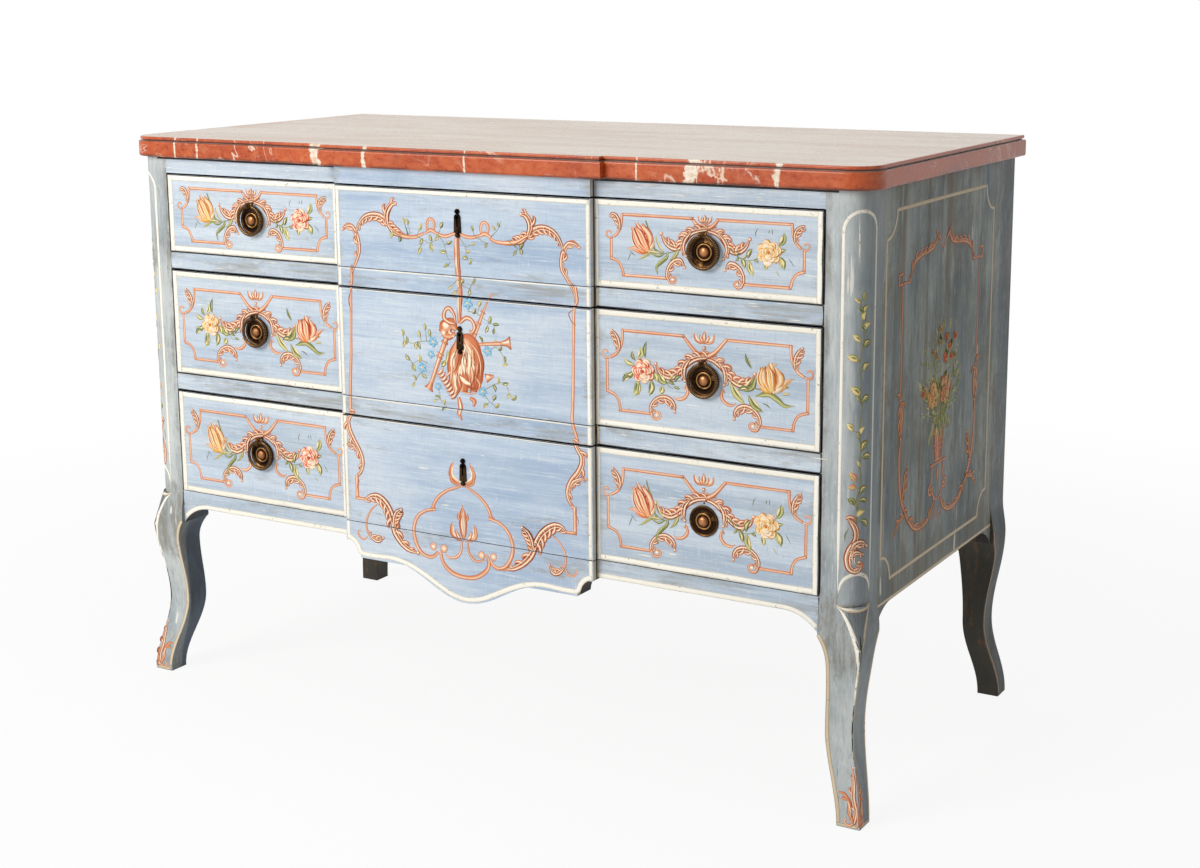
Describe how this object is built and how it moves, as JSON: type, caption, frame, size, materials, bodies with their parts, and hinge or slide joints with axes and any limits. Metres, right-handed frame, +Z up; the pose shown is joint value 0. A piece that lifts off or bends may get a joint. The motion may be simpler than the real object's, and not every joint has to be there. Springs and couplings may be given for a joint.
{
  "type": "breakfront commode",
  "caption": "Blue painted chest with sliding drawers under a red marble top, a middle that steps forward, ring pulls, keyhole plates and curved square legs.",
  "frame": {"origin": "on the floor, under the middle of the overall box", "axes": "+X to the right seen from the front, +Y to the back, +Z up; the drawers open towards -Y"},
  "size_m": [1.236, 0.5946, 0.865],
  "materials": {
    "blue_paint": "aged matt blue paint with hand-painted ornament",
    "side_paint": "aged matt grey-blue paint, worn",
    "marble": "polished red marble with cream veins",
    "carcass_wood": "old bare softwood",
    "drawer_wood": "bare wood, planed",
    "rosette_brass": "aged, dark in the hollows",
    "handle_brass": "dark patina",
    "lock_iron": "old dark iron",
    "bolt_iron": "worn bright"
  },
  "bodies": {
    "carcass": {"marble_top": "marble", "post_front_left": "blue_paint", "post_front_right": "blue_paint", "post_back_left": "blue_paint", "post_back_right": "blue_paint", "side_panel_left": "side_paint", "side_panel_right": "side_paint", "side_rail_left": "side_paint", "side_rail_right": "side_paint", "back_panel": "carcass_wood", "back_rail": "carcass_wood", "frieze_rail": "blue_paint", "upper_rail": "blue_paint", "lower_rail": "blue_paint", "bottom_rail": "blue_paint", "top_batten_left": "carcass_wood", "top_batten_right": "carcass_wood", "top_runner_left": "carcass_wood", "top_runner_right": "carcass_wood", "middle_runner_left": "carcass_wood", "middle_runner_right": "carcass_wood", "bottom_runner_left": "carcass_wood", "bottom_runner_right": "carcass_wood"},
    "top_drawer": {"top_front": "blue_paint", "top_side_left": "drawer_wood", "top_side_right": "drawer_wood", "top_back": "drawer_wood", "top_bottom": "drawer_wood", "top_rosettes": "rosette_brass", "top_handle_posts": "handle_brass", "top_escutcheon": "handle_brass", "top_lock": "lock_iron"},
    "top_bolt": {"top_bolt": "bolt_iron"},
    "top_ring_left": {"top_ring_left": "handle_brass"},
    "top_ring_right": {"top_ring_right": "handle_brass"},
    "middle_drawer": {"middle_front": "blue_paint", "middle_side_left": "drawer_wood", "middle_side_right": "drawer_wood", "middle_back": "drawer_wood", "middle_bottom": "drawer_wood", "middle_rosettes": "rosette_brass", "middle_handle_posts": "handle_brass", "middle_escutcheon": "handle_brass", "middle_lock": "lock_iron"},
    "middle_bolt": {"middle_bolt": "bolt_iron"},
    "middle_ring_left": {"middle_ring_left": "handle_brass"},
    "middle_ring_right": {"middle_ring_right": "handle_brass"},
    "bottom_drawer": {"bottom_front": "blue_paint", "bottom_side_left": "drawer_wood", "bottom_side_right": "drawer_wood", "bottom_back": "drawer_wood", "bottom_bottom": "drawer_wood", "bottom_rosettes": "rosette_brass", "bottom_handle_post": "handle_brass", "bottom_escutcheon": "handle_brass", "bottom_lock": "lock_iron"},
    "bottom_bolt": {"bottom_bolt": "bolt_iron"},
    "bottom_ring_left": {"bottom_ring_left": "handle_brass"}
  },
  "joints": [
    {"name": "top_drawer_slide", "type": "slide", "parent": "carcass", "child": "top_drawer", "axis": [0, -1, 0], "range_m": [0, 0.35]},
    {"name": "top_bolt_slide", "type": "slide", "parent": "top_drawer", "child": "top_bolt", "axis": [0, 0, 1], "range_m": [0, 0.009]},
    {"name": "top_ring_left_hinge", "type": "hinge", "parent": "top_drawer", "child": "top_ring_left", "pos_m": [-0.38175, -0.28375, 0.77], "axis": [-1, 0, 0], "range_deg": [-2, 180]},
    {"name": "top_ring_right_hinge", "type": "hinge", "parent": "top_drawer", "child": "top_ring_right", "pos_m": [0.38175, -0.28375, 0.77], "axis": [-1, 0, 0], "range_deg": [-2, 180]},
    {"name": "middle_drawer_slide", "type": "slide", "parent": "carcass", "child": "middle_drawer", "axis": [0, -1, 0], "range_m": [0, 0.35]},
    {"name": "middle_bolt_slide", "type": "slide", "parent": "middle_drawer", "child": "middle_bolt", "axis": [0, 0, 1], "range_m": [0, 0.009]},
    {"name": "middle_ring_left_hinge", "type": "hinge", "parent": "middle_drawer", "child": "middle_ring_left", "pos_m": [-0.38175, -0.28375, 0.6], "axis": [-1, 0, 0], "range_deg": [-2, 180]},
    {"name": "middle_ring_right_hinge", "type": "hinge", "parent": "middle_drawer", "child": "middle_ring_right", "pos_m": [0.38175, -0.28375, 0.6], "axis": [-1, 0, 0], "range_deg": [-2, 180]},
    {"name": "bottom_drawer_slide", "type": "slide", "parent": "carcass", "child": "bottom_drawer", "axis": [0, -1, 0], "range_m": [0, 0.35]},
    {"name": "bottom_bolt_slide", "type": "slide", "parent": "bottom_drawer", "child": "bottom_bolt", "axis": [0, 0, 1], "range_m": [0, 0.009]},
    {"name": "bottom_ring_left_hinge", "type": "hinge", "parent": "bottom_drawer", "child": "bottom_ring_left", "pos_m": [-0.38175, -0.28375, 0.4085], "axis": [-1, 0, 0], "range_deg": [-2, 180]}
  ]
}
